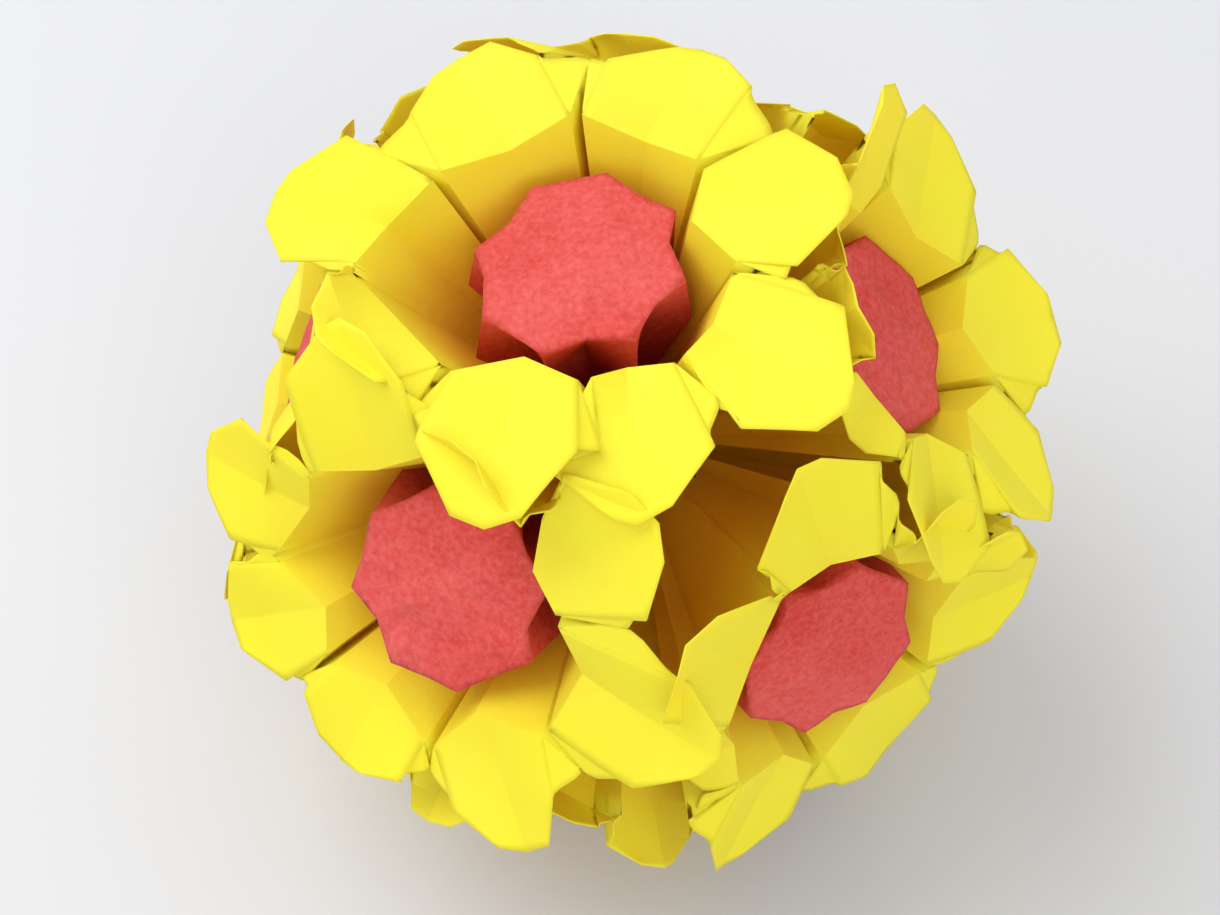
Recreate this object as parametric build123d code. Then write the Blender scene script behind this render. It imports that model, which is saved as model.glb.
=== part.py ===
"""Kusudama paper ball: twelve folded yellow flowers, each holding a folded red centre, tied into a ball.

Every flower is one pleated sheet. Eight creased petals open out from the rim of a star-shaped cup, and the
spare paper between two petals is folded away behind them as a fin. Every centre is one sheet too: a puckered
octagon on top, with eight fins that run down into the valleys of the cup. Black thread ties the flowers
at the middle of the ball and is knotted again in the gap between four of them.

Lengths are in millimetres and angles in degrees. The flowers are set out about the middle of the ball, and
the finished ball is then moved to stand on Z = 0.
"""

import math
import os

from build123d import *

# ---- driving dimensions -------------------------------------------------------------------------------

SHEET = 0.3  # folded sheet, doubled layers included
CLEAR = 0.35  # air between two sheets that lie against each other
BALL_RADIUS = 84.0  # nothing reaches further from the middle than this
FLOOR_DEPTH = 12.5  # how far inside that the table is, which flattens the lowest petals

# Depths inside BALL_RADIUS along a ray from the middle, and angles between that ray and the flower's axis.
CREASE_DEPTH = 15.0  # inner end of a petal's crease
CREASE_ANGLE = 20.5
CORNER_DEPTH = 11.5  # corner of the rim that two petals share
CORNER_ANGLE = 24.0
CORNER_GAP = 1.1  # half the opening between two petals at their corner
FIN_DEPTH = 8.0  # top of the fin behind that corner
FIN_ANGLE = 32.0
FOOT = 0.17  # the pleats close at the bottom of the cup, this share of the way out
FOOT_GAP = 0.5

PETAL_LENGTH = 27.0  # along the crease
SIDE_REACH = 17.0  # along the crease to the widest place
PETAL_HALF_WIDTH = 12.3
TIP_HALF_WIDTH = 4.4
TIP_SHOULDER = 1.2  # how far the shoulders of the blunt tip lie behind its middle
PETAL_FOLD = 2.0  # how far the sides rise above the crease

CENTRE_DEPTH = 22.5  # octagon
CENTRE_DOME = 0.9  # rise of the octagon's middle
CENTRE_RADIUS = 18.6
CENTRE_DIP = 2.2  # how far the octagon's edge draws in between two corners
FLARE_DROP = 13.5  # from the octagon down to where the centre's fins stand out furthest
FLARE_RADIUS = 20.5
FLARE_VALLEY = 9.5
FINS_DROP = 40.5  # from the octagon down to the lower edge of the centre's sheet
FOOT_RADIUS = 8.6
FOOT_VALLEY = 4.6

PETALS = 8
PITCH = 360 / PETALS

KNOT_RADIUS = 4.7  # wad of thread at the middle of the ball
THREAD_RADIUS = 0.35
GAP_KNOT_RADIUS = 1.2  # knot in the gap between four flowers
GAP_KNOT_DEPTH = 34.0

# How two flowers meet, the one that lies on top first: how far the boundary between them is turned
# towards the first, how far it then leans out over the second, the depth where it starts to lean,
# and its twist.
MEETINGS = {
    ("top", "front_left"): (0, 0, 20, 4),
    ("top", "front_right"): (10, 20, 22, 0),
    ("top", "right"): (-1, 35, 20, 0),
    ("top", "left"): (0, 30, 20, 0),
    ("front_left", "front_right"): (-2, 50, 16, -18),
    ("front_left", "left"): (4, 40, 17, 6),
    ("right", "front_right"): (3, 5, 20, 18),
}
# Every other pair: the higher one lies on top, and the lean grows to this with the difference in height.
FREE_LEAN = 35.0
FREE_START = 20.0

# Where each flower points, about 60 apart: angle from straight up, and turn about Z.
SEATS = {
    "top": (14, -134),
    "front_left": (73, -124),
    "front_right": (92, -53),
    "right": (50, -12),
    "back": (48, 70),
    "left": (70, 177),
    "back_left": (88, 122),
    "right_low": (111, -1),
    "back_low": (108, 63),
    "front_low": (131, -107),
    "left_low": (129, 170),
    "bottom": (167, 42),
}

# Each flower's rim as it is pushed about in the ball, going round: the turn and angle of every corner
# between two petals, then the angle of the crease after that corner and the slope of its petal.
RIMS = {
    "top": (
        (27, 25, 19, -4),
        (69, 22, 21, -8),
        (126, 20, 19, -8),
        (188, 21, 29, 2),
        (221, 32, 25, 10),
        (275, 24, 19, 2),
        (323, 23, 23, 2),
        (352, 26, 26, -6),
    ),
    "front_left": (
        (23, 24, 22, -10),
        (56, 28, 24, 30),
        (92, 24, 20, -4),
        (153, 27, 29, 4),
        (200, 31, 22, 10),
        (236, 24, 22, 30),
        (280, 27, 20, 18),
        (334, 26, 27, -3),
    ),
    "front_right": (
        (22, 22, 18, 22),
        (52, 22, 21, 15),
        (80, 26, 27, -14),
        (115, 30, 24, -8),
        (165, 24, 21, 10),
        (212, 23, 19, 20),
        (262, 23, 19, 15),
        (318, 23, 19, 20),
    ),
    "right": (
        (33, 21, 18, 35),
        (74, 21, 18, 10),
        (112, 21, 19, 10),
        (148, 21, 18, 5),
        (186, 20, 17, -5),
        (232, 20, 17, 5),
        (284, 20, 16, 12),
        (334, 21, 18, 15),
    ),
}

# How each octagon stands in its cup: moved right and up in millimetres, then tipped towards the right
# and up in degrees.
OCTAGONS = {
    "top": (3.0, 0.7, 0, 0),
    "front_left": (3.0, 0.5, 8, 13),
    "front_right": (0, 0, -7, 13),
    "right": (0, 0, 0, 0),
    "back": (1, 2, 5, -4),
    "left": (-1, 1, 3, 6),
    "back_left": (2, 0, -5, 4),
    "right_low": (0, -2, 4, 8),
    "back_low": (-2, 1, 6, -3),
    "front_low": (1, 1, -6, 2),
    "left_low": (-1, -1, 2, -7),
    "bottom": (0, 0, 3, 2),
}


# ---- small geometry -----------------------------------------------------------------------------------


def seat_axes(name):
    """The flower's axis, and the two directions square to it that turns are counted in."""
    polar, turn = (math.radians(a) for a in SEATS[name])
    axis = Vector(math.sin(polar) * math.cos(turn), math.sin(polar) * math.sin(turn), math.cos(polar))
    right = Vector(0, 0, 1).cross(axis).normalized()
    return axis, right, axis.cross(right)


class Place:
    """Turns a radius, a turn and a height in one flower's own frame into a point of the ball."""

    def __init__(self, name):
        self.axis, self.right, self.up = seat_axes(name)

    def outward(self, turn):
        t = math.radians(turn)
        return self.right * math.cos(t) + self.up * math.sin(t)

    def at(self, radius, turn, height):
        return self.outward(turn) * radius + self.axis * height

    def ray(self, angle, turn, depth):
        """The place at an angle from the axis, this deep inside the ball."""
        reach = BALL_RADIUS - depth
        a = math.radians(angle)
        return self.at(reach * math.sin(a), turn, reach * math.cos(a))


# ---- the room that each flower has ---------------------------------------------------------------------


class Boundary:
    """What parts two flowers: a flat wall out from the middle of the ball, and a slant over the lower one."""

    def __init__(self, upper, lower):
        ours = seat_axes(upper)[0]
        theirs = seat_axes(lower)[0]
        if (upper, lower) in MEETINGS:
            bias, lean, depth, twist = MEETINGS[upper, lower]
        else:
            height = min(1.0, (ours.Z - theirs.Z) / 0.3)
            bias, lean, depth, twist = 0, FREE_LEAN * height, FREE_START, 0
        across = (theirs - ours).normalized()
        between = (theirs + ours).normalized()
        side = across.cross(between)
        across, between = mixed(across, between, bias), mixed(between, across * -1, bias)
        across = mixed(across, side, twist)
        margin = (CLEAR + SHEET) / 2
        self.slant = mixed(across, between * -1, lean)
        self.slant_at = (between * (BALL_RADIUS - depth)).dot(self.slant)
        self.upper_wall = (across, -margin)
        self.upper_slant = (self.slant, self.slant_at - margin)
        self.lower_wall = (across * -1, -margin)
        self.lower_slant = (self.slant * -1, -self.slant_at - margin)


def mixed(one, other, angle):
    """one, turned by angle towards other."""
    return one * math.cos(math.radians(angle)) + other * math.sin(math.radians(angle))


class Room:
    """The space of one flower, between its neighbours, the table and the ball's outside."""

    def __init__(self, name):
        axis = seat_axes(name)[0]
        table = (Vector(0, 0, -1), BALL_RADIUS - FLOOR_DEPTH - SHEET / 2)
        self.inner = [table]
        self.outer = [table]
        for other in SEATS:
            theirs = seat_axes(other)[0]
            if other == name or axis.get_angle(theirs) > 110:
                continue
            if (name, other) in MEETINGS or ((other, name) not in MEETINGS and axis.Z > theirs.Z):
                boundary = Boundary(name, other)
                self.inner.append(boundary.upper_wall)
                self.outer.append(boundary.upper_slant)
            else:
                boundary = Boundary(other, name)
                self.inner += [boundary.lower_wall, boundary.lower_slant]
                self.outer += [boundary.lower_wall, boundary.lower_slant]

    def holds(self, point, beyond_rim):
        if point.length > BALL_RADIUS - SHEET / 2:
            return False
        sides = self.outer if beyond_rim else self.inner
        return all(point.dot(normal) <= limit for normal, limit in sides)

    def drawn_in(self, point, anchor, beyond_rim):
        """point, moved towards anchor until it is inside."""
        for step in range(40):
            moved = anchor + (point - anchor) * (1 - step / 40)
            if self.holds(moved, beyond_rim):
                return moved
        return anchor


# ---- a folded sheet as a solid -------------------------------------------------------------------------


class Sheet:
    """A folded sheet as named points and the flat facets between them, with one free edge."""

    def __init__(self):
        self.points = []
        self.facets = []
        self.edge = []

    def add(self, point):
        self.points.append(point)
        return len(self.points) - 1

    def facet(self, *corners):
        for i in range(1, len(corners) - 1):
            self.facets.append((corners[0], corners[i], corners[i + 1]))

    def normals(self):
        sums = [Vector(0, 0, 0) for _ in self.points]
        for a, b, c in self.facets:
            pa, pb, pc = self.points[a], self.points[b], self.points[c]
            normal = (pb - pa).cross(pc - pa).normalized()
            corners = ((a, pb - pa, pc - pa), (b, pc - pb, pa - pb), (c, pa - pc, pb - pc))
            for corner, one, two in corners:
                sums[corner] = sums[corner] + normal * one.get_angle(two)
        return [s.normalized() for s in sums]

    def solid(self):
        """The sheet with its thickness: facets on both sides, closed along the free edge."""
        normals = self.normals()
        front = [p + n * (SHEET / 2) for p, n in zip(self.points, normals)]
        back = [p - n * (SHEET / 2) for p, n in zip(self.points, normals)]
        faces = []
        for a, b, c in self.facets:
            faces.append(triangle(front[a], front[b], front[c]))
            faces.append(triangle(back[a], back[c], back[b]))
        for here, there in zip(self.edge, self.edge[1:] + self.edge[:1]):
            faces.append(triangle(front[here], back[here], back[there]))
            faces.append(triangle(front[here], back[there], front[there]))
        return Solid(Shell(faces))


def triangle(a, b, c):
    return Face(Wire.make_polygon([a, b, c], close=True))


# ---- the yellow flower ---------------------------------------------------------------------------------


class Rim:
    """The eight corners and eight creases round the mouth of one flower."""

    def __init__(self, name):
        rows = RIMS.get(name) or free_rim(list(SEATS).index(name))
        self.corner_turns = [row[0] for row in rows]
        self.corner_angles = [row[1] for row in rows]
        self.crease_angles = [row[2] for row in rows]
        self.slopes = [row[3] for row in rows]
        nexts = self.corner_turns[1:] + [self.corner_turns[0] + 360]
        self.crease_turns = [(here + there) / 2 for here, there in zip(self.corner_turns, nexts)]
        self.halves = [(there - here) / 2 for here, there in zip(self.corner_turns, nexts)]


def free_rim(order):
    """The rim of a flower that is not listed: even, but for the unevenness of hand folding."""
    rows = []
    for k in range(PETALS):
        turn = 11 * order + k * PITCH + 5 * math.sin(2.4 * k + 1.7 * order)
        corner = CORNER_ANGLE + 2 * math.sin(1.3 * k + 2.9 * order)
        crease = CREASE_ANGLE + 2 * math.sin(2.2 * k + 0.8 * order)
        rows.append((turn, corner, crease, 4 + 9 * math.sin(1.9 * k + 2.3 * order)))
    return rows


class Petal:
    """One petal, laid at a slope and with a share of its length that fit the room it has."""

    def __init__(self, place, room, inner, turn, half, slope):
        self.room = room
        self.inner = inner
        self.outward = place.outward(turn)
        self.axis = place.axis
        self.radius = (inner - place.axis * inner.dot(place.axis)).length
        self.half = half
        self.slope, self.share = self.settled(slope)

    def corner(self, reach, side, rise, slope, share):
        """A point of the petal: reach along the crease, side across it, rise above it."""
        s = math.radians(slope)
        along = self.outward * math.cos(s) + self.axis * math.sin(s)
        lift = self.axis * math.cos(s) - self.outward * math.sin(s)
        across = self.axis.cross(self.outward)
        return self.inner + along * (reach * share) + across * side + lift * rise

    def half_width(self, slope, share):
        """Half the petal's width at its widest place, inside its own part of the flower."""
        radius = self.radius + SIDE_REACH * share * math.cos(math.radians(slope))
        return min(PETAL_HALF_WIDTH, radius * math.tan(math.radians(self.half - 1.5)))

    def outline(self, slope, share):
        """Side, shoulder, tip, shoulder and side, going round the flower."""
        wide = self.half_width(slope, share)
        narrow = min(TIP_HALF_WIDTH, 0.5 * wide)
        shoulder = PETAL_LENGTH - TIP_SHOULDER
        return [
            self.corner(SIDE_REACH, -wide, PETAL_FOLD, slope, share),
            self.corner(shoulder, -narrow, PETAL_FOLD / 3, slope, share),
            self.corner(PETAL_LENGTH, 0, 0, slope, share),
            self.corner(shoulder, narrow, PETAL_FOLD / 3, slope, share),
            self.corner(SIDE_REACH, wide, PETAL_FOLD, slope, share),
        ]

    def settled(self, wanted):
        """The slope and the share of its length that fit the room and change the petal least."""
        best = None
        for share in (1.0, 0.9, 0.8, 0.7, 0.6, 0.5, 0.4):
            for step in range(-12, 19):
                slope = wanted + 5 * step
                if not -60 <= slope <= 88:
                    continue
                cost = abs(slope - wanted) / 30 + (1 - share) * 2.5
                if best is not None and cost >= best[0]:
                    continue
                if all(self.room.holds(p, True) for p in self.outline(slope, share)):
                    best = (cost, slope, share)
        return best[1:] if best else (60.0, 0.4)


def rim_points(name):
    """The corners (two points each, one to a petal) and the crease ends round the mouth of the cup."""
    place = Place(name)
    room = Room(name)
    rim = Rim(name)
    corners = []
    for turn, angle in zip(rim.corner_turns, rim.corner_angles):
        middle = room.drawn_in(place.ray(angle, turn, CORNER_DEPTH), place.ray(0, 0, CORNER_DEPTH), False)
        aside = place.outward(turn + 90) * CORNER_GAP
        corners.append([middle - aside, middle + aside])
    creases = []
    for turn, angle in zip(rim.crease_turns, rim.crease_angles):
        point = place.ray(angle, turn, CREASE_DEPTH)
        creases.append(room.drawn_in(point, place.ray(0, 0, CREASE_DEPTH), False))
    return corners, creases


def flower(name):
    """One yellow flower as a folded sheet."""
    place = Place(name)
    room = Room(name)
    rim = Rim(name)
    corners, creases = rim_points(name)
    sheet = Sheet()
    apex = sheet.add(place.axis * (KNOT_RADIUS + CLEAR + SHEET / 2))
    crease_rim = [sheet.add(p) for p in creases]
    crease_foot = [sheet.add(p * FOOT) for p in creases]
    corner_rim = [[sheet.add(p) for p in pair] for pair in corners]
    corner_foot = []
    fin_rim = []
    fin_foot = []
    for pair, turn in zip(corners, rim.corner_turns):
        middle = (pair[0] + pair[1]) * (FOOT / 2)
        spread = (pair[1] - pair[0]).normalized() * FOOT_GAP
        corner_foot.append([sheet.add(middle - spread), sheet.add(middle + spread)])
        fin = place.ray(FIN_ANGLE, turn, FIN_DEPTH)
        for beyond_rim in (False, True):
            fin = room.drawn_in(fin, pair[0] * 0.5 + pair[1] * 0.5, beyond_rim)
        fin_rim.append(sheet.add(fin))
        fin_foot.append(sheet.add(fin * FOOT))

    for k in range(PETALS):
        after = (k + 1) % PETALS
        petal = Petal(place, room, creases[k], rim.crease_turns[k], rim.halves[k], rim.slopes[k])
        outline = petal.outline(petal.slope, petal.share)
        side_in, left, tip, right, side_out = (sheet.add(p) for p in outline)
        into, out_of = corner_rim[k][1], corner_rim[after][0]
        foot_in, foot_out = corner_foot[k][1], corner_foot[after][0]
        crease, foot = crease_rim[k], crease_foot[k]
        # petal
        sheet.facet(crease, into, side_in, left, tip)
        sheet.facet(crease, tip, right, side_out, out_of)
        # wall of the cup, and the closed point under it
        sheet.facet(foot, foot_in, into, crease)
        sheet.facet(foot, crease, out_of, foot_out)
        sheet.facet(apex, foot_in, foot)
        sheet.facet(apex, foot, foot_out)
        # the fin before the petal, then the fin after it
        sheet.facet(into, fin_rim[k], side_in)
        sheet.facet(foot_in, fin_foot[k], fin_rim[k], into)
        sheet.facet(apex, fin_foot[k], foot_in)
        sheet.facet(out_of, side_out, fin_rim[after])
        sheet.facet(foot_out, out_of, fin_rim[after], fin_foot[after])
        sheet.facet(apex, foot_out, fin_foot[after])
        sheet.edge += [side_in, left, tip, right, side_out, fin_rim[after]]
    return sheet


# ---- the red centre ------------------------------------------------------------------------------------


class Wall:
    """The inside of one flower's cup, as the radius there is at a turn and a height."""

    def __init__(self, name):
        self.place = Place(name)
        corners, creases = rim_points(name)
        ring = []
        for pair, crease in zip(corners, creases):
            ring += [pair[0], pair[1], crease]
        self.planes = [here.cross(there) for here, there in zip(ring, ring[1:] + ring[:1])]
        self.rays = ring

    def radius(self, turn, height):
        toward = self.place.outward(turn)
        found = []
        for k, plane in enumerate(self.planes):
            here, there = self.rays[k], self.rays[(k + 1) % len(self.rays)]
            a = self.around(here)
            b = self.around(there)
            span = (b - a) % 360
            if (turn - a) % 360 <= span < 180:
                found.append(-height * self.place.axis.dot(plane) / toward.dot(plane))
        return min(found) - SHEET - CLEAR

    def around(self, point):
        return math.degrees(math.atan2(point.dot(self.place.up), point.dot(self.place.right)))


class Octagon:
    """The flat top of a red centre, moved and tipped from square."""

    def __init__(self, name):
        self.right, self.up, tip_right, tip_up = OCTAGONS[name]
        self.fall_right = math.tan(math.radians(tip_right))
        self.fall_up = math.tan(math.radians(tip_up))

    def at(self, radius, turn):
        """Radius, turn and height about the flower's axis of a place on the octagon."""
        t = math.radians(turn)
        x = radius * math.cos(t)
        y = radius * math.sin(t)
        height = BALL_RADIUS - CENTRE_DEPTH - self.fall_right * x - self.fall_up * y
        x += self.right
        y += self.up
        return math.hypot(x, y), math.degrees(math.atan2(y, x)), height


def centre(name):
    """One red centre as a folded sheet, its eight fins standing against the wall of the cup."""
    place = Place(name)
    wall = Wall(name)
    octagon = Octagon(name)
    order = list(SEATS).index(name)
    first = Rim(name).corner_turns[0]
    flare_height = BALL_RADIUS - CENTRE_DEPTH - FLARE_DROP
    foot_height = BALL_RADIUS - CENTRE_DEPTH - FINS_DROP
    sheet = Sheet()
    radius, turn, height = octagon.at(0, 0)
    top = sheet.add(place.at(radius, turn, height + CENTRE_DOME))
    rings = []
    for k in range(2 * PETALS):
        turn = first + k * PITCH / 2 + 2 * math.sin(1.9 * k + order)
        if k % 2 == 0:
            edge, flare, foot = CENTRE_RADIUS, FLARE_RADIUS, FOOT_RADIUS
        else:
            dip = CENTRE_DIP * (1 + 0.5 * math.sin(2.1 * k + 1.3 * order))
            edge, flare, foot = CENTRE_RADIUS - dip, FLARE_VALLEY, FOOT_VALLEY
        ring = []
        for radius, at, height in (octagon.at(edge, turn), (flare, turn, flare_height), (foot, turn, foot_height)):
            ring.append(sheet.add(place.at(min(radius, wall.radius(at, height)), at, height)))
        rings.append(ring)
    for here, there in zip(rings, rings[1:] + rings[:1]):
        sheet.facet(top, here[0], there[0])
        for row in (0, 1):
            sheet.facet(here[row], here[row + 1], there[row + 1], there[row])
        sheet.edge.append(here[2])
    return sheet


# ---- the thread ----------------------------------------------------------------------------------------


def ball(radius, middle):
    return Solid.make_sphere(radius, Plane(origin=middle), -90, 90, 360)


def strand(points):
    """Thread along points, round at every bend and at its end."""
    shape = None
    for here, there in zip(points, points[1:]):
        run = there - here
        piece = Solid.make_cylinder(THREAD_RADIUS, run.length, Plane(origin=here, z_dir=run))
        piece = piece + ball(THREAD_RADIUS, there)
        shape = piece if shape is None else shape + piece
    return shape


def tie_thread():
    """The thread: a wad of knots that holds the points of all the cups, and a tail up into the front gap."""
    out = Vector(0, 0, 0)
    for name in ("top", "front_left", "front_right", "right"):
        out = out + seat_axes(name)[0]
    out = out.normalized()
    right = Vector(0, 0, 1).cross(out).normalized()
    up = out.cross(right)
    knot = out * (BALL_RADIUS - GAP_KNOT_DEPTH)
    shape = ball(KNOT_RADIUS, Vector(0, 0, 0)) + strand([out * 3, knot]) + ball(GAP_KNOT_RADIUS, knot)
    shape = shape + strand([knot, knot - right * 4 + up * 0.9 + out * 0.5, knot - right * 9 + up * 0.3])
    shape = shape + strand([knot, knot - right * 3.5 - up * 1.0, knot - right * 7.5 - up * 0.6 + out * 1.0])
    shape = shape + strand([knot, knot + right * 0.3 + up * 2.6 + out * 0.6])
    return shape + strand([knot, knot - right * 0.4 - up * 2.0])


def main():
    os.makedirs("parts", exist_ok=True)
    made = {"tie_thread": tie_thread()}
    for name in SEATS:
        made["petals_" + name] = flower(name).solid()
        made["centre_" + name] = centre(name).solid()
    boxes = [shape.bounding_box() for shape in made.values()]
    middle_x = (min(b.min.X for b in boxes) + max(b.max.X for b in boxes)) / 2
    middle_y = (min(b.min.Y for b in boxes) + max(b.max.Y for b in boxes)) / 2
    stand = Pos(-middle_x, -middle_y, -min(b.min.Z for b in boxes))
    for node, shape in made.items():
        export_step(stand * shape, f"parts/{node}.step")


main()
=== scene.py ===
"""Looks of the kusudama ball: yellow paper flowers with red centres, on a pale table."""

import math

import bmesh
import bpy
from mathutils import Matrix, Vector, noise


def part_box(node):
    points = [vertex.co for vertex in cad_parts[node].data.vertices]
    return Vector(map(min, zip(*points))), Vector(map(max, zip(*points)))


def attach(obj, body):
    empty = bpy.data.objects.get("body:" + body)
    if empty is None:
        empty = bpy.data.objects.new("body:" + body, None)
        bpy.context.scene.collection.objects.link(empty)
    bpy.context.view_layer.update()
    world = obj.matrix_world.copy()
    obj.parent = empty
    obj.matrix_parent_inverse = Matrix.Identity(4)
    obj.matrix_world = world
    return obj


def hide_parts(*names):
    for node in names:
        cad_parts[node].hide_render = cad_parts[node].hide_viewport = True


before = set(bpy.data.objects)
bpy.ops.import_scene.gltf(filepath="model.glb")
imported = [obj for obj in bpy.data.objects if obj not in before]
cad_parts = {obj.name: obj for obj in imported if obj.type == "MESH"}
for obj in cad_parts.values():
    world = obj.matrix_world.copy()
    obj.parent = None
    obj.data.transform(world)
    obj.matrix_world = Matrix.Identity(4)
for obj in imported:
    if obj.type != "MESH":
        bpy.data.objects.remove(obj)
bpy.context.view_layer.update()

MM = 0.001

# ---- sizes of the ball, in millimetres and degrees -----------------------------------------------------

BALL_RADIUS = 84.0
FLOOR_DEPTH = 12.5
CREASE_DEPTH = 15.0
CREASE_ANGLE = 20.5
CORNER_DEPTH = 11.5
CORNER_ANGLE = 24.0
CORNER_GAP = 1.1
FIN_DEPTH = 8.0
FIN_ANGLE = 32.0
PETAL_LENGTH = 27.0
SIDE_REACH = 17.0
PETAL_HALF_WIDTH = 12.3
TIP_HALF_WIDTH = 4.6
TIP_SHOULDER = 1.2
TIP_BACK = 1.6
PETAL_FOLD = 2.0
PETAL_BELLY = 0.4
PETAL_TWIST = 1.1
PETAL_CLEAR = 1.0
FIN_SAG = 0.9
MARGIN = 0.3
CENTRE_DEPTH = 22.5
CENTRE_DOME = 0.9
CENTRE_RADIUS = 18.6
CENTRE_DIP = 2.2
OCTAGON_PLEAT = 0.3
DENT = 1.1
DENT_SCALE = 0.16
WRINKLE = 0.35
WRINKLE_SCALE = 0.45
FLARE_DROP = 13.5
FLARE_RADIUS = 20.5
FLARE_VALLEY = 9.5
FINS_DROP = 34.0
FOOT_RADIUS = 10.0
FOOT_VALLEY = 5.4
WALL_GAP = 0.55
PETALS = 8
PITCH = 360 / PETALS
KNOT_RADIUS = 4.7
CUP_POINT = 0.075
PAPER = 0.22
# Where the widest place of a petal comes between its rim and its tip, as a share of the way.
SIDE_AT = 0.62

# How two flowers meet, the one that lies on top first: how far the boundary between them is turned
# towards the first, how far it then leans out over the second, the depth where it starts to lean,
# and its twist.
MEETINGS = {
    ("top", "front_left"): (0, 0, 20, 4),
    ("top", "front_right"): (10, 20, 22, 0),
    ("top", "right"): (-1, 35, 20, 0),
    ("top", "left"): (0, 30, 20, 0),
    ("front_left", "front_right"): (-2, 50, 16, -18),
    ("front_left", "left"): (4, 40, 17, 6),
    ("right", "front_right"): (3, 5, 20, 18),
}
# Every other pair: the higher one lies on top, and the lean grows to this with the difference in height.
FREE_LEAN = 35.0
FREE_START = 20.0
FULL_LEAN_RISE = 0.3
# Flowers further apart than this do not meet.
NEIGHBOUR_ANGLE = 110
# How finely a corner is pulled back into its room.
PULL_STEPS = 40

# A petal that has no room at its own slope and length is tried at others, and the least changed is kept.
SHARES = (1.0, 0.9, 0.8, 0.7, 0.6, 0.5, 0.4)
SLOPE_STEPS = range(-12, 19)
SLOPE_STEP = 5
LOWEST_SLOPE = -60
HIGHEST_SLOPE = 88
SLOPE_PER_COST = 30
SHARE_COST = 2.5
LAST_RESORT = (60.0, 0.4)

# Where each flower points, about 60 apart: angle from straight up, and turn about Z.
SEATS = {
    "top": (14, -134),
    "front_left": (73, -124),
    "front_right": (92, -53),
    "right": (50, -12),
    "back": (48, 70),
    "left": (70, 177),
    "back_left": (88, 122),
    "right_low": (111, -1),
    "back_low": (108, 63),
    "front_low": (131, -107),
    "left_low": (129, 170),
    "bottom": (167, 42),
}

# Each flower's rim as it is pushed about in the ball, going round: the turn and angle of every corner
# between two petals, then the angle of the crease after that corner and the slope of its petal.
RIMS = {
    "top": (
        (27, 25, 19, -4),
        (69, 22, 21, -8),
        (126, 20, 19, -8),
        (188, 21, 29, 2),
        (221, 32, 25, 10),
        (275, 24, 19, 2),
        (323, 23, 23, 2),
        (352, 26, 26, -6),
    ),
    "front_left": (
        (23, 24, 22, -10),
        (56, 28, 24, 30),
        (92, 24, 20, -4),
        (153, 27, 29, 4),
        (200, 31, 22, 10),
        (236, 24, 22, 30),
        (280, 27, 20, 18),
        (334, 26, 27, -3),
    ),
    "front_right": (
        (22, 22, 18, 22),
        (52, 22, 21, 15),
        (80, 26, 27, -14),
        (115, 30, 24, -8),
        (165, 24, 21, 10),
        (212, 23, 19, 20),
        (262, 23, 19, 15),
        (318, 23, 19, 20),
    ),
    "right": (
        (33, 21, 18, 35),
        (74, 21, 18, 10),
        (112, 21, 19, 10),
        (148, 21, 18, 5),
        (186, 20, 17, -5),
        (232, 20, 17, 5),
        (284, 20, 16, 12),
        (334, 21, 18, 15),
    ),
}

# Petals that hang over their neighbours or were bent by hand: slope, share of the full length, how far the
# tip curls up, and how far the petal points aside. Flower, then petal in the order of RIMS.
BENT = {
    ("top", 0): (2, 1.0, -1.0, 0),
    ("top", 1): (-2, 0.9, -3.0, 12),
    ("top", 3): (6, 0.85, -2.0, -6),
    ("top", 5): (10, 1.08, -8.0, 2),
    ("top", 6): (2, 1.0, -4.0, -22),
    ("top", 7): (4, 1.0, -3.5, -6),
    ("front_left", 0): (-4, 1.0, -1.0, 6),
    ("front_left", 2): (4, 1.0, -3.0, -8),
    ("front_left", 3): (6, 0.9, -3.0, 6),
    ("front_left", 7): (2, 1.0, -3.0, -6),
    ("front_right", 2): (-8, 1.0, -1.0, 6),
    ("front_right", 3): (0, 1.0, 1.0, -14),
    ("right", 4): (4, 1.0, -2.0, -6),
    ("right", 6): (6, 1.05, 2.0, 4),
    ("right", 7): (14, 0.95, -1.0, 12),
    ("right", 0): (38, 0.9, 1.0, 14),
}

# How each octagon stands in its cup: moved right and up in millimetres, then tipped towards the right
# and up in degrees.
OCTAGONS = {
    "top": (3.0, 0.7, 0, 0),
    "front_left": (3.0, 0.5, 8, 13),
    "front_right": (0, 0, -7, 13),
    "right": (0, 0, 0, 0),
    "back": (1, 2, 5, -4),
    "left": (-1, 1, 3, 6),
    "back_left": (2, 0, -5, 4),
    "right_low": (0, -2, 4, 8),
    "back_low": (-2, 1, 6, -3),
    "front_low": (1, 1, -6, 2),
    "left_low": (-1, -1, 2, -7),
    "bottom": (0, 0, 3, 2),
}


# ---- where things are ----------------------------------------------------------------------------------


def seat_axes(name):
    """The flower's axis, and the two directions square to it that turns are counted in."""
    polar, turn = (math.radians(a) for a in SEATS[name])
    axis = Vector((math.sin(polar) * math.cos(turn), math.sin(polar) * math.sin(turn), math.cos(polar)))
    right = Vector((0, 0, 1)).cross(axis).normalized()
    return axis, right, axis.cross(right)


class Place:
    """Turns a radius, a turn and a height in one flower's own frame into a point of the ball."""

    def __init__(self, name):
        self.axis, self.right, self.up = seat_axes(name)

    def outward(self, turn):
        t = math.radians(turn)
        return self.right * math.cos(t) + self.up * math.sin(t)

    def at(self, radius, turn, height):
        return self.outward(turn) * radius + self.axis * height

    def ray(self, angle, turn, depth):
        """The place at an angle from the axis, this deep inside the ball."""
        reach = BALL_RADIUS - depth
        a = math.radians(angle)
        return self.at(reach * math.sin(a), turn, reach * math.cos(a))


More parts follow.
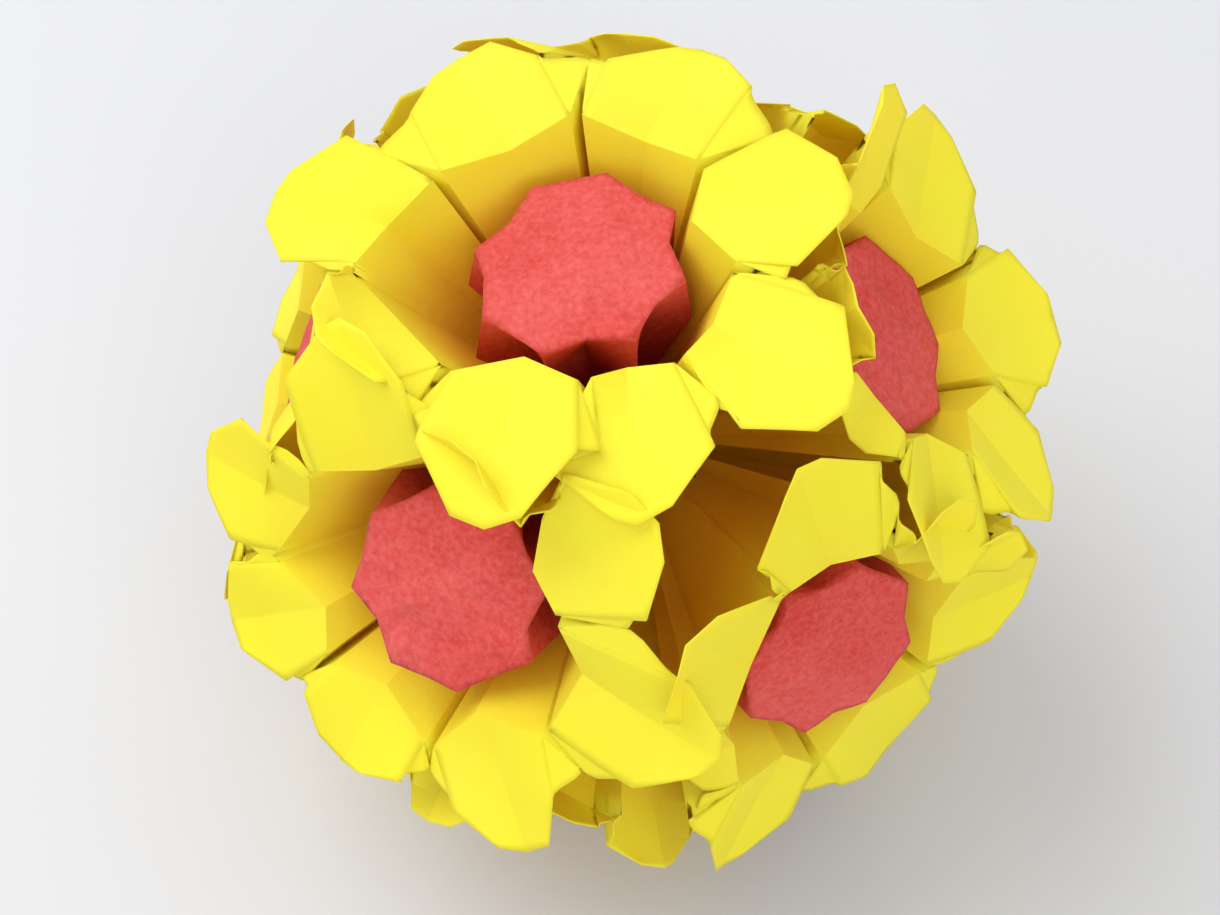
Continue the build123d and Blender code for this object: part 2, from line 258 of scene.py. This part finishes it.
class Boundary:
    """What parts two flowers: a wall out from the middle of the ball, and a slant over the lower one."""

    def __init__(self, upper, lower):
        ours = seat_axes(upper)[0]
        theirs = seat_axes(lower)[0]
        if (upper, lower) in MEETINGS:
            bias, lean, depth, twist = MEETINGS[upper, lower]
        else:
            height = min(1.0, (ours.z - theirs.z) / FULL_LEAN_RISE)
            bias, lean, depth, twist = 0, FREE_LEAN * height, FREE_START, 0
        across = (theirs - ours).normalized()
        between = (theirs + ours).normalized()
        side = across.cross(between)
        across, between = mixed(across, between, bias), mixed(between, across * -1, bias)
        across = mixed(across, side, twist)
        slant = mixed(across, between * -1, lean)
        slant_at = (between * (BALL_RADIUS - depth)).dot(slant)
        self.upper_wall = (across, -MARGIN)
        self.upper_slant = (slant, slant_at - MARGIN)
        self.lower_wall = (across * -1, -MARGIN)
        self.lower_slant = (slant * -1, -slant_at - MARGIN)


def mixed(one, other, angle):
    """one, turned by angle towards other."""
    return one * math.cos(math.radians(angle)) + other * math.sin(math.radians(angle))


class Room:
    """The space of one flower, between its neighbours, the table and the ball's outside."""

    def __init__(self, name):
        axis = seat_axes(name)[0]
        table = (Vector((0, 0, -1)), BALL_RADIUS - FLOOR_DEPTH)
        self.inner = [table]
        self.outer = [table]
        for other in SEATS:
            theirs = seat_axes(other)[0]
            if other == name or math.degrees(axis.angle(theirs)) > NEIGHBOUR_ANGLE:
                continue
            if (name, other) in MEETINGS or ((other, name) not in MEETINGS and axis.z > theirs.z):
                boundary = Boundary(name, other)
                self.inner.append(boundary.upper_wall)
                self.outer.append(boundary.upper_slant)
            else:
                boundary = Boundary(other, name)
                self.inner += [boundary.lower_wall, boundary.lower_slant]
                self.outer += [boundary.lower_wall, boundary.lower_slant]

    def holds(self, point, beyond_rim):
        if point.length > BALL_RADIUS:
            return False
        sides = self.outer if beyond_rim else self.inner
        return all(point.dot(normal) <= limit for normal, limit in sides)

    def drawn_in(self, point, anchor, beyond_rim):
        """point, moved towards anchor until it is inside."""
        for step in range(PULL_STEPS):
            moved = anchor + (point - anchor) * (1 - step / PULL_STEPS)
            if self.holds(moved, beyond_rim):
                return moved
        return anchor


class Rim:
    """The eight corners and eight creases round the mouth of one flower."""

    def __init__(self, name):
        rows = RIMS.get(name) or free_rim(list(SEATS).index(name))
        self.corner_turns = [row[0] for row in rows]
        self.corner_angles = [row[1] for row in rows]
        self.crease_angles = [row[2] for row in rows]
        self.slopes = [row[3] for row in rows]
        nexts = self.corner_turns[1:] + [self.corner_turns[0] + 360]
        self.crease_turns = [(here + there) / 2 for here, there in zip(self.corner_turns, nexts)]
        self.halves = [(there - here) / 2 for here, there in zip(self.corner_turns, nexts)]


def free_rim(order):
    """The rim of a flower that is not listed: even, but for the unevenness of hand folding."""
    rows = []
    for k in range(PETALS):
        turn = 11 * order + k * PITCH + 5 * math.sin(2.4 * k + 1.7 * order)
        corner = CORNER_ANGLE + 2 * math.sin(1.3 * k + 2.9 * order)
        crease = CREASE_ANGLE + 2 * math.sin(2.2 * k + 0.8 * order)
        rows.append((turn, corner, crease, 4 + 9 * math.sin(1.9 * k + 2.3 * order)))
    return rows


class Petal:
    """One petal, laid at a slope and with a share of its length that fit the room it has."""

    def __init__(self, name, k, place, room, inner, corners, turn, half, slope, seed):
        self.room = room
        self.inner = inner
        self.corners = corners
        self.outward = place.outward(turn)
        self.axis = place.axis
        self.radius = (inner - place.axis * inner.dot(place.axis)).length
        self.half = half
        self.seed = seed
        self.bend = -1.3 + 2.2 * math.sin(3.7 * seed)
        self.widened = 1.0
        if (name, k) in BENT:
            self.slope, self.share, self.bend, aside = BENT[name, k]
            self.outward = place.outward(turn + aside)
            self.half = PITCH / 2
            self.widened = 1.1
        else:
            self.slope, self.share = self.settled(slope)

    def corner(self, reach, side, rise, slope, share):
        s = math.radians(slope)
        along = self.outward * math.cos(s) + self.axis * math.sin(s)
        lift = self.axis * math.cos(s) - self.outward * math.sin(s)
        across = self.axis.cross(self.outward)
        return self.inner + along * (reach * share) + across * side + lift * rise

    def half_width(self, slope, share):
        radius = self.radius + SIDE_REACH * share * math.cos(math.radians(slope))
        return min(PETAL_HALF_WIDTH, radius * math.tan(math.radians(self.half - PETAL_CLEAR)))

    def settled(self, wanted):
        """The slope and the share of its length that fit the room and change the petal least."""
        best = None
        for share in SHARES:
            for step in SLOPE_STEPS:
                slope = wanted + SLOPE_STEP * step
                if not LOWEST_SLOPE <= slope <= HIGHEST_SLOPE:
                    continue
                cost = abs(slope - wanted) / SLOPE_PER_COST + (1 - share) * SHARE_COST
                if best is not None and cost >= best[0]:
                    continue
                wide = self.half_width(slope, share)
                narrow = min(TIP_HALF_WIDTH, 0.5 * wide)
                outline = (
                    self.corner(SIDE_REACH, -wide, PETAL_FOLD, slope, share),
                    self.corner(PETAL_LENGTH - TIP_SHOULDER, -narrow, PETAL_FOLD / 3, slope, share),
                    self.corner(PETAL_LENGTH, 0, 0, slope, share),
                    self.corner(PETAL_LENGTH - TIP_SHOULDER, narrow, PETAL_FOLD / 3, slope, share),
                    self.corner(SIDE_REACH, wide, PETAL_FOLD, slope, share),
                )
                if all(self.room.holds(p, True) for p in outline):
                    best = (cost, slope, share)
        return best[1:] if best else LAST_RESORT

    def point(self, t, v):
        """A place on the curled petal: t from the rim to the tip, v from one side to the other."""
        side = 1 if v >= 0 else -1
        a = abs(v)
        start = self.inner.lerp(self.corners[0 if side < 0 else 1], a)
        wide = self.half_width(self.slope, self.share) * self.widened
        blunt = 1.15 + 0.3 * math.sin(4.1 * self.seed + side)
        narrow = min(TIP_HALF_WIDTH * blunt, 0.6 * wide)
        reach = SIDE_REACH + 0.9 * math.sin(2.9 * self.seed + 2 * side)
        middle = self.corner(reach, side * wide * a, PETAL_FOLD * a, self.slope, self.share)
        length = PETAL_LENGTH - TIP_BACK * a
        tip = self.corner(length, side * narrow * a, PETAL_FOLD * a / 2, self.slope, self.share)
        if t < SIDE_AT:
            here = start.lerp(middle, t / SIDE_AT)
        else:
            here = middle.lerp(tip, (t - SIDE_AT) / (1 - SIDE_AT))
        s = math.radians(self.slope)
        lift = self.axis * math.cos(s) - self.outward * math.sin(s)
        curl = self.bend * t ** 2.2 + self.twist() * v * t
        belly = PETAL_BELLY * math.sin(math.pi * t) * (1 - a)
        return here + lift * (curl - belly)

    def twist(self):
        return PETAL_TWIST * math.sin(5.3 * self.seed + 1.0)


def rim_points(name):
    """The corners (two points each, one to a petal) and the crease ends round the mouth of the cup."""
    place = Place(name)
    room = Room(name)
    rim = Rim(name)
    corners = []
    for turn, angle in zip(rim.corner_turns, rim.corner_angles):
        middle = room.drawn_in(place.ray(angle, turn, CORNER_DEPTH), place.ray(0, 0, CORNER_DEPTH), False)
        aside = place.outward(turn + 90) * CORNER_GAP
        corners.append([middle - aside, middle + aside])
    creases = []
    for turn, angle in zip(rim.crease_turns, rim.crease_angles):
        point = place.ray(angle, turn, CREASE_DEPTH)
        creases.append(room.drawn_in(point, place.ray(0, 0, CREASE_DEPTH), False))
    return corners, creases


# ---- meshes --------------------------------------------------------------------------------------------

knot_low, knot_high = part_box("tie_thread")
# The middle of the ball: the wad of knots round it reaches furthest left, back and down of all the thread.
MIDDLE = Vector((
    knot_low[0] + KNOT_RADIUS * MM,
    knot_high[1] - KNOT_RADIUS * MM,
    knot_low[2] + KNOT_RADIUS * MM,
))
SHARP = math.radians(11)
SAME_PLACE = 0.00002
NO_LENGTH = 0.00001

# How finely the sheets are divided: across a petal, along it, along a fin's edge, across a fin, down a
# cup, out over an octagon, along each of its sides, and down each storey of its fins.
PETAL_ACROSS = 14
PETAL_ALONG = 16
FIN_ALONG = 8
FIN_ACROSS = 6
CUP_LEVELS = 14
OCTAGON_RINGS = 14
OCTAGON_SIDE = 5
STOREY_ROWS = 8


def patch(bm, rows):
    """A grid of quads over rows of points."""
    grid = [[bm.verts.new(MIDDLE + p * MM) for p in row] for row in rows]
    for upper, lower in zip(grid, grid[1:]):
        for i in range(len(upper) - 1):
            quad = (upper[i], upper[i + 1], lower[i + 1], lower[i])
            bm.faces.new(quad)


def paper_piece(bm, name, node, material):
    """The folded sheet as an object that stands for its CAD node."""
    bmesh.ops.remove_doubles(bm, verts=bm.verts, dist=SAME_PLACE)
    bmesh.ops.dissolve_degenerate(bm, edges=bm.edges, dist=NO_LENGTH)
    bmesh.ops.recalc_face_normals(bm, faces=bm.faces)
    for face in bm.faces:
        face.smooth = True
    for edge in bm.edges:
        if len(edge.link_faces) == 2 and edge.calc_face_angle(0.0) > SHARP:
            edge.smooth = False
    mesh = bpy.data.meshes.new(name)
    bm.to_mesh(mesh)
    bm.free()
    mesh.materials.append(material)
    piece = bpy.data.objects.new(name, mesh)
    bpy.context.scene.collection.objects.link(piece)
    thick = piece.modifiers.new("paper", "SOLIDIFY")
    thick.thickness = PAPER * MM
    thick.offset = 0
    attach(piece, "root")
    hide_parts(node)
    return piece


def spread(count, low=0.0, high=1.0):
    """Even steps from low to high, both ends included."""
    return [low + (high - low) * i / count for i in range(count + 1)]


def flower(name, material):
    """One yellow flower: petals, the wall of the cup, and the fins folded away behind."""
    place = Place(name)
    room = Room(name)
    rim = Rim(name)
    corners, creases = rim_points(name)
    order = list(SEATS).index(name)
    fins = []
    for pair, turn in zip(corners, rim.corner_turns):
        fin = place.ray(FIN_ANGLE, turn, FIN_DEPTH)
        for beyond_rim in (False, True):
            fin = room.drawn_in(fin, (pair[0] + pair[1]) / 2, beyond_rim)
        fins.append(fin)
    bm = bmesh.new()
    levels = [CUP_POINT + (1 - CUP_POINT) * s ** 0.8 for s in spread(CUP_LEVELS)]
    for k in range(PETALS):
        after = (k + 1) % PETALS
        sides = (corners[k][1], corners[after][0])
        seed = order * PETALS + k
        turn, half, slope = rim.crease_turns[k], rim.halves[k], rim.slopes[k]
        petal = Petal(name, k, place, room, creases[k], sides, turn, half, slope, seed)
        across = spread(PETAL_ACROSS, -1, 1)
        patch(bm, [[petal.point(t, v) for v in across] for t in spread(PETAL_ALONG)])
        patch(bm, [[petal.point(0, v) * s for v in across] for s in levels])
        for v, corner, fin in ((-1, sides[0], fins[k]), (1, sides[1], fins[after])):
            sag = place.outward(rim.crease_turns[k] + 90) * (-v * FIN_SAG)
            rows = []
            for s in spread(FIN_ALONG):
                edge = petal.point(SIDE_AT * s, v)
                fold = corner.lerp(fin, s)
                row = [edge.lerp(fold, a) + sag * (math.sin(2 * math.pi * a) * s) for a in spread(FIN_ACROSS)]
                rows.append(row)
            patch(bm, rows)
            patch(bm, [[corner.lerp(fin, a) * s for a in spread(FIN_ACROSS)] for s in levels])
    return paper_piece(bm, "flower_" + name, "petals_" + name, material)


class Wall:
    """The inside of one flower's cup, as the radius there is at a turn and a height."""

    def __init__(self, name):
        self.place = Place(name)
        corners, creases = rim_points(name)
        ring = []
        for pair, crease in zip(corners, creases):
            ring += [pair[0], pair[1], crease]
        self.planes = [here.cross(there) for here, there in zip(ring, ring[1:] + ring[:1])]
        self.rays = ring

    def radius(self, turn, height):
        toward = self.place.outward(turn)
        found = []
        for k, plane in enumerate(self.planes):
            a = self.around(self.rays[k])
            b = self.around(self.rays[(k + 1) % len(self.rays)])
            span = (b - a) % 360
            if (turn - a) % 360 <= span < 180:
                found.append(-height * self.place.axis.dot(plane) / toward.dot(plane))
        return min(found) - WALL_GAP

    def around(self, point):
        return math.degrees(math.atan2(point.dot(self.place.up), point.dot(self.place.right)))


class Octagon:
    """The flat top of a red centre, moved and tipped from square."""

    def __init__(self, name):
        self.right, self.up, tip_right, tip_up = OCTAGONS[name]
        self.fall_right = math.tan(math.radians(tip_right))
        self.fall_up = math.tan(math.radians(tip_up))

    def at(self, radius, turn):
        """Radius, turn and height about the flower's axis of a place on the octagon."""
        t = math.radians(turn)
        x = radius * math.cos(t)
        y = radius * math.sin(t)
        height = BALL_RADIUS - CENTRE_DEPTH - self.fall_right * x - self.fall_up * y
        x += self.right
        y += self.up
        return math.hypot(x, y), math.degrees(math.atan2(y, x)), height


def centre(name, material):
    """One red centre: the puckered octagon, and eight fins down into the cup."""
    place = Place(name)
    wall = Wall(name)
    octagon = Octagon(name)
    order = list(SEATS).index(name)
    first = Rim(name).corner_turns[0]
    flare_height = BALL_RADIUS - CENTRE_DEPTH - FLARE_DROP
    foot_height = BALL_RADIUS - CENTRE_DEPTH - FINS_DROP
    radius, turn, height = octagon.at(0, 0)
    top = place.at(radius, turn, height + CENTRE_DOME)
    columns = []
    for k in range(2 * PETALS):
        turn = first + k * PITCH / 2 + 2 * math.sin(1.9 * k + order)
        if k % 2 == 0:
            edge, flare, foot = CENTRE_RADIUS, FLARE_RADIUS, FOOT_RADIUS
        else:
            dip = CENTRE_DIP * (1 + 0.5 * math.sin(2.1 * k + 1.3 * order))
            edge, flare, foot = CENTRE_RADIUS - dip, FLARE_VALLEY, FOOT_VALLEY
        column = []
        stations = (octagon.at(edge, turn), (flare, turn, flare_height), (foot, turn, foot_height))
        for radius, at, height in stations:
            column.append(place.at(min(radius, wall.radius(at, height)), at, height))
        columns.append(column)
    bm = bmesh.new()
    ring = []
    for here, there in zip(columns, columns[1:] + columns[:1]):
        for a in spread(OCTAGON_SIDE)[:-1]:
            ring.append([here[i].lerp(there[i], a) for i in range(3)])
    ring.append(ring[0])
    rows = []
    for s in spread(OCTAGON_RINGS):
        row = []
        for i, column in enumerate(ring):
            flat = top.lerp(column[0], s)
            angle = 2 * math.pi * (i % (len(ring) - 1)) / (len(ring) - 1)
            pleat = OCTAGON_PLEAT * math.cos(16 * angle + order) * s ** 1.5 * (1 - 0.75 * s ** 6)
            dents = noise.noise(flat * DENT_SCALE + Vector((order * 7.1, 0, 0))) * DENT
            wrinkles = noise.noise(flat * WRINKLE_SCALE + Vector((0, order * 3.3, 0))) * WRINKLE
            rough = dents + wrinkles
            row.append(flat + place.axis * (pleat + rough * min(1, 3 * s) * (1 - s ** 8)))
        rows.append(row)
    patch(bm, rows)
    for low, high in ((0, 1), (1, 2)):
        patch(bm, [[column[low].lerp(column[high], s) for column in ring] for s in spread(STOREY_ROWS)])
    return paper_piece(bm, "centre_paper_" + name, "centre_" + name, material)


# ---- materials -----------------------------------------------------------------------------------------

# Painted shade: paper nearer the middle of the ball than this is painted in its shaded colour, and this far
# further out it has its own lit colour, in metres.
PAINTED_SHADE_REACH = 0.046
PAINTED_SHADE_FADE = 0.027


class Socket:
    """A shader value. Arithmetic on it adds Math nodes; node() adds any other node."""

    def __init__(self, tree, output):
        self.tree = tree
        self.output = output

    def node(self, kind, inputs=None, out=0, **settings):
        made = self.tree.nodes.new(kind)
        for key, value in settings.items():
            setattr(made, key, value)
        for key, value in (inputs or {}).items():
            if isinstance(value, Socket):
                self.tree.links.new(value.output, made.inputs[key])
            else:
                made.inputs[key].default_value = value
        return Socket(self.tree, made.outputs[out])

    def math(self, operation, other=0.0, clamp=False):
        return self.node("ShaderNodeMath", {0: self, 1: other}, operation=operation, use_clamp=clamp)

    def __add__(self, other):
        return self.math("ADD", other)

    def __sub__(self, other):
        return self.math("SUBTRACT", other)

    def __mul__(self, other):
        return self.math("MULTIPLY", other)

    def clamped(self):
        return self.math("ADD", 0.0, clamp=True)

    def mix(self, low, high):
        """Colour low where this is 0, high where it is 1."""
        return self.node("ShaderNodeMix", {0: self, 6: low, 7: high}, out=2, data_type="RGBA")

    def noise(self, scale, detail=4.0, roughness=0.5):
        inputs = {"Vector": self, "Scale": scale, "Detail": detail, "Roughness": roughness}
        return self.node("ShaderNodeTexNoise", inputs)


def new_material(name):
    """A material with an empty tree, its position socket and its output node."""
    material = bpy.data.materials.new(name)
    material.use_nodes = True
    tree = material.node_tree
    tree.nodes.clear()
    output = tree.nodes.new("ShaderNodeOutputMaterial")
    where = tree.nodes.new("ShaderNodeTexCoord")
    return material, Socket(tree, where.outputs["Object"]), output


def painted_shade_mask(where):
    """Mask of the painted shade: 0 in the depths of the cups, where the shaded colour is painted, 1 out at
    the petals.
    """
    offset = where.node("ShaderNodeVectorMath", {0: where, 1: MIDDLE}, operation="SUBTRACT")
    length = where.node("ShaderNodeVectorMath", {0: offset}, out=1, operation="LENGTH")
    return ((length - PAINTED_SHADE_REACH) * (1 / PAINTED_SHADE_FADE)).clamped()


def paper(name, painted_shade_colour, lit, pale, mottle, fibre, through, glow):
    """Coloured paper: a painted shaded colour deep inside the ball, mottled, with fibres, and light coming
    through it.
    """
    material, where, output = new_material(name)
    coarse = where.noise(38.0, 5.0, 0.6)
    fine = where.noise(900.0, 3.0, 0.6)
    stretched = where.node("ShaderNodeMapping", {"Vector": where, "Scale": (1.0, 0.35, 2.2)})
    fibres = stretched.noise(2600.0, 2.0, 0.7)
    depth = painted_shade_mask(where)
    # Painted shade: the colour goes from the shaded colour in the depths of the cups to the lit colour at the
    # petals.
    colour = depth.mix(painted_shade_colour, lit)
    tone = ((coarse - 0.5) * mottle + (fine - 0.5) * fibre + 0.35).clamped()
    colour = tone.mix(colour, pale)
    bump_height = coarse * 0.25 + fine * 0.35 + fibres * 0.4
    bump = where.node("ShaderNodeBump", {"Height": bump_height, "Strength": 0.22, "Distance": 0.0004})
    rough = fine * 0.25 + 0.55
    inputs = {"Base Color": colour, "Roughness": rough, "Normal": bump, "Specular IOR Level": 0.3}
    surface = where.node("ShaderNodeBsdfPrincipled", inputs)
    back = where.node("ShaderNodeBsdfTranslucent", {"Color": glow, "Normal": bump})
    mixed_shader = where.node("ShaderNodeMixShader", {0: through, 1: surface, 2: back})
    where.tree.links.new(mixed_shader.output, output.inputs["Surface"])
    return material


def thread_material():
    """Black sewing thread, with its twist."""
    material, where, output = new_material("black_thread_twist")
    twist = where.node("ShaderNodeTexWave", {"Vector": where, "Scale": 900.0, "Distortion": 1.5})
    fuzz = where.noise(3000.0, 3.0)
    shade = (twist * 0.5 + fuzz * 0.5).clamped()
    colour = shade.mix((0.006, 0.006, 0.007, 1), (0.045, 0.042, 0.04, 1))
    bump_height = twist * 0.7 + fuzz * 0.3
    bump = where.node("ShaderNodeBump", {"Height": bump_height, "Strength": 0.6, "Distance": 0.0002})
    inputs = {"Base Color": colour, "Roughness": fuzz * 0.2 + 0.6, "Normal": bump}
    surface = where.node("ShaderNodeBsdfPrincipled", inputs)
    where.tree.links.new(surface.output, output.inputs["Surface"])
    return material


def table_material():
    """Smooth pale table with a faint unevenness."""
    material, where, output = new_material("pale_table")
    cloud = where.noise(3.0, 3.0)
    colour = cloud.mix((0.60, 0.585, 0.575, 1), (0.62, 0.62, 0.63, 1))
    inputs = {"Base Color": colour, "Roughness": cloud * 0.2 + 0.5}
    surface = where.node("ShaderNodeBsdfPrincipled", inputs)
    where.tree.links.new(surface.output, output.inputs["Surface"])
    return material


# ---- the ball ------------------------------------------------------------------------------------------

yellow = paper(
    "yellow_petal_paper",
    # The colour in the depths of the cups is painted shade: the orange of shade and of yellow light bounced
    # between petals.
    painted_shade_colour=(1.0, 0.40, 0.0, 1),
    lit=(0.93, 0.87, 0.006, 1),
    pale=(0.97, 0.95, 0.10, 1),
    mottle=0.5,
    fibre=0.35,
    through=0.26,
    glow=(0.98, 0.60, 0.005, 1),
)
red = paper(
    "red_centre_paper",
    # The colour in the depths of the cups is painted shade: a darker red where shade falls.
    painted_shade_colour=(0.58, 0.022, 0.010, 1),
    lit=(0.64, 0.054, 0.044, 1),
    pale=(0.78, 0.14, 0.125, 1),
    mottle=1.3,
    fibre=1.6,
    through=0.12,
    glow=(0.80, 0.06, 0.02, 1),
)
for name in SEATS:
    flower(name, yellow)
    centre(name, red)

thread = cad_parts["tie_thread"]
thread.data.materials.clear()
thread.data.materials.append(thread_material())

# ---- table, light and camera ---------------------------------------------------------------------------

bpy.ops.mesh.primitive_plane_add(size=40.0, location=(0, 0, 0))
table = bpy.context.object
table.name = "table_top"
table.data.materials.append(table_material())

world = bpy.data.worlds.new("soft_room")
bpy.context.scene.world = world
world.use_nodes = True
world.node_tree.nodes["Background"].inputs["Color"].default_value = (0.93, 0.96, 1.0, 1)
world.node_tree.nodes["Background"].inputs["Strength"].default_value = 0.90


def softbox(name, place, size, power, colour):
    """A large soft light that faces the ball."""
    data = bpy.data.lights.new(name, "AREA")
    data.shape = "DISK"
    data.size = size
    data.energy = power
    data.color = colour
    lamp = bpy.data.objects.new(name, data)
    lamp.location = place
    lamp.rotation_euler = (MIDDLE - Vector(place)).to_track_quat("-Z", "Y").to_euler()
    bpy.context.scene.collection.objects.link(lamp)


softbox("window_light", (-0.9, 0.3, 1.3), 1.6, 17, (0.97, 0.98, 1.0))
softbox("front_fill", (0.5, -1.3, 0.9), 1.2, 8, (1.0, 0.98, 0.95))

CAMERA_ELEVATION = 50
CAMERA_DISTANCE = 0.400
eye = math.radians(CAMERA_ELEVATION)
camera_data = bpy.data.cameras.new("camera")
camera_data.lens = 60.8
camera_data.sensor_width = 36
camera_data.shift_x = -0.0123
camera_data.shift_y = -0.0184
camera = bpy.data.objects.new("camera", camera_data)
camera.location = MIDDLE + Vector((0, -math.cos(eye), math.sin(eye))) * CAMERA_DISTANCE
camera.rotation_euler = (math.pi / 2 - eye, 0, 0)
bpy.context.scene.collection.objects.link(camera)
bpy.context.scene.camera = camera
bpy.context.scene.view_settings.view_transform = "Standard"
